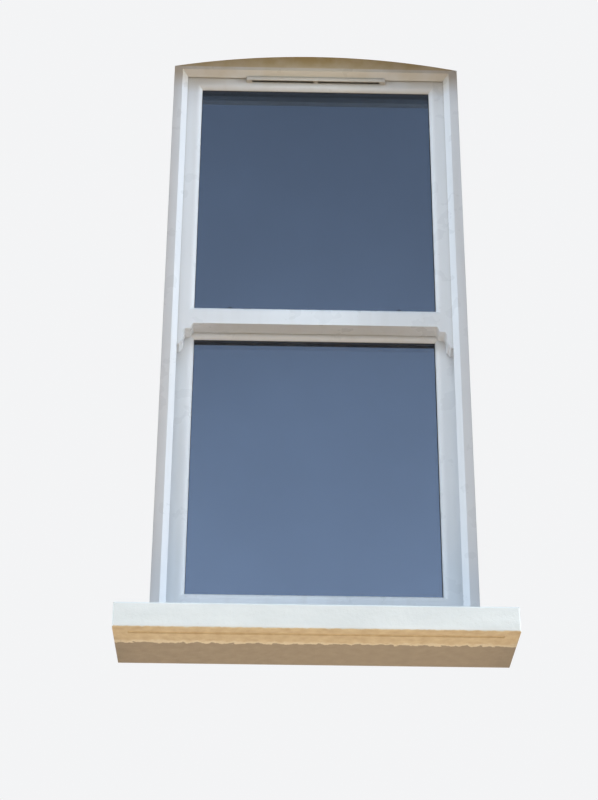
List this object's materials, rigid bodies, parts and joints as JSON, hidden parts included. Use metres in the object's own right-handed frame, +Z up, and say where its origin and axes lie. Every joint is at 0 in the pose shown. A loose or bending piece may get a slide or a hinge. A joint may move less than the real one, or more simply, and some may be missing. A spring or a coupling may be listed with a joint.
{
  "type": "sash window",
  "caption": "White vertical sliding sash window with ogee horns, trickle vent and arched head, in its box frame on a painted stone sill; both sashes slide and the lower one tilts in.",
  "frame": {"origin": "on the underside of the stone sill, at the middle of the window's width and level with the box frame's outer face", "axes": "+X to the right as seen from the street, +Y from the street into the room, +Z up"},
  "size_m": [0.872, 0.285, 1.6664],
  "materials": {
    "white_plastic": "white window plastic, soft satin gloss",
    "infill_board": "foamed board, slightly yellowed towards the top",
    "painted_stone": "white masonry paint over stone, slightly rough",
    "vent_plastic": "white moulded plastic",
    "white_metal": "white powder-coated metal",
    "balance_steel": "bright zinc-plated steel",
    "spacer_metal": "mill finish",
    "nylon": "natural moulded nylon",
    "glass": "clear float glass",
    "gasket_rubber": "black glazing gasket",
    "stop_rubber": "grey rubber",
    "brush_pile": "grey woven pile"
  },
  "bodies": {
    "frame": {"stone_sill": "painted_stone", "frame_cill": "white_plastic", "jamb_left": "white_plastic", "jamb_right": "white_plastic", "frame_head": "white_plastic", "arch_board": "infill_board", "frame_brush_pile": "brush_pile", "travel_stops": "stop_rubber", "upper_balance_tubes": "balance_steel", "upper_balance_hangers": "nylon", "lower_balance_tubes": "balance_steel", "lower_balance_hangers": "nylon"},
    "upper_sash": {"horn_left": "white_plastic", "horn_right": "white_plastic", "vent_canopy": "vent_plastic", "vent_grille": "vent_plastic", "cam_keepers": "white_metal", "meeting_brush_pile": "brush_pile", "upper_stile_left": "white_plastic", "upper_stile_right": "white_plastic", "upper_meeting_rail": "white_plastic", "upper_outer_pane": "glass", "upper_inner_pane": "glass", "upper_spacer_bar": "spacer_metal", "upper_glazing_beads": "white_plastic", "upper_gasket": "gasket_rubber", "upper_setting_blocks": "nylon", "upper_reinforcement": "balance_steel", "upper_pivot_bars": "balance_steel", "upper_balance_shoes": "nylon", "upper_balance_rods": "balance_steel", "upper_top_rail": "white_plastic"},
    "lower_carriage": {"lower_balance_shoes": "nylon", "lower_balance_rods": "balance_steel"},
    "lower_sash": {"cam_bases": "white_metal", "tilt_latch_housings": "vent_plastic", "sash_lifts": "white_metal", "lower_stile_left": "white_plastic", "lower_stile_right": "white_plastic", "lower_meeting_rail": "white_plastic", "lower_outer_pane": "glass", "lower_inner_pane": "glass", "lower_spacer_bar": "spacer_metal", "lower_glazing_beads": "white_plastic", "lower_gasket": "gasket_rubber", "lower_setting_blocks": "nylon", "lower_reinforcement": "balance_steel", "lower_pivot_bars": "balance_steel", "lower_bottom_rail": "white_plastic"},
    "vent_shutter": {"vent_shutter": "vent_plastic"},
    "cam_lever_left": {"cam_lever_left": "white_metal"},
    "cam_lever_right": {"cam_lever_right": "white_metal"},
    "tilt_latch_left": {"tilt_latch_left": "vent_plastic"},
    "tilt_latch_right": {"tilt_latch_right": "vent_plastic"}
  },
  "joints": [
    {"name": "upper_slide", "type": "slide", "parent": "frame", "child": "upper_sash", "axis": [0, 0, 1], "range_m": [-0.6, 0]},
    {"name": "lower_slide", "type": "slide", "parent": "frame", "child": "lower_carriage", "axis": [0, 0, 1], "range_m": [0, 0.6]},
    {"name": "lower_tilt", "type": "hinge", "parent": "lower_carriage", "child": "lower_sash", "pos_m": [0, 0.1, 0.133], "axis": [-1, 0, 0], "range_deg": [0, 45]},
    {"name": "vent_slide", "type": "slide", "parent": "upper_sash", "child": "vent_shutter", "axis": [1, 0, 0], "range_m": [0, 0.007]},
    {"name": "cam_turn_left", "type": "hinge", "parent": "lower_sash", "child": "cam_lever_left", "pos_m": [-0.216, 0.088, 0.898], "axis": [0, 0, 1], "range_deg": [0, 115]},
    {"name": "cam_turn_right", "type": "hinge", "parent": "lower_sash", "child": "cam_lever_right", "pos_m": [0.216, 0.088, 0.898], "axis": [0, 0, -1], "range_deg": [0, 115]},
    {"name": "latch_slide_left", "type": "slide", "parent": "lower_sash", "child": "tilt_latch_left", "axis": [-1, 0, 0], "range_m": [0, 0.009]},
    {"name": "latch_slide_right", "type": "slide", "parent": "lower_sash", "child": "tilt_latch_right", "axis": [1, 0, 0], "range_m": [0, 0.009]}
  ]
}
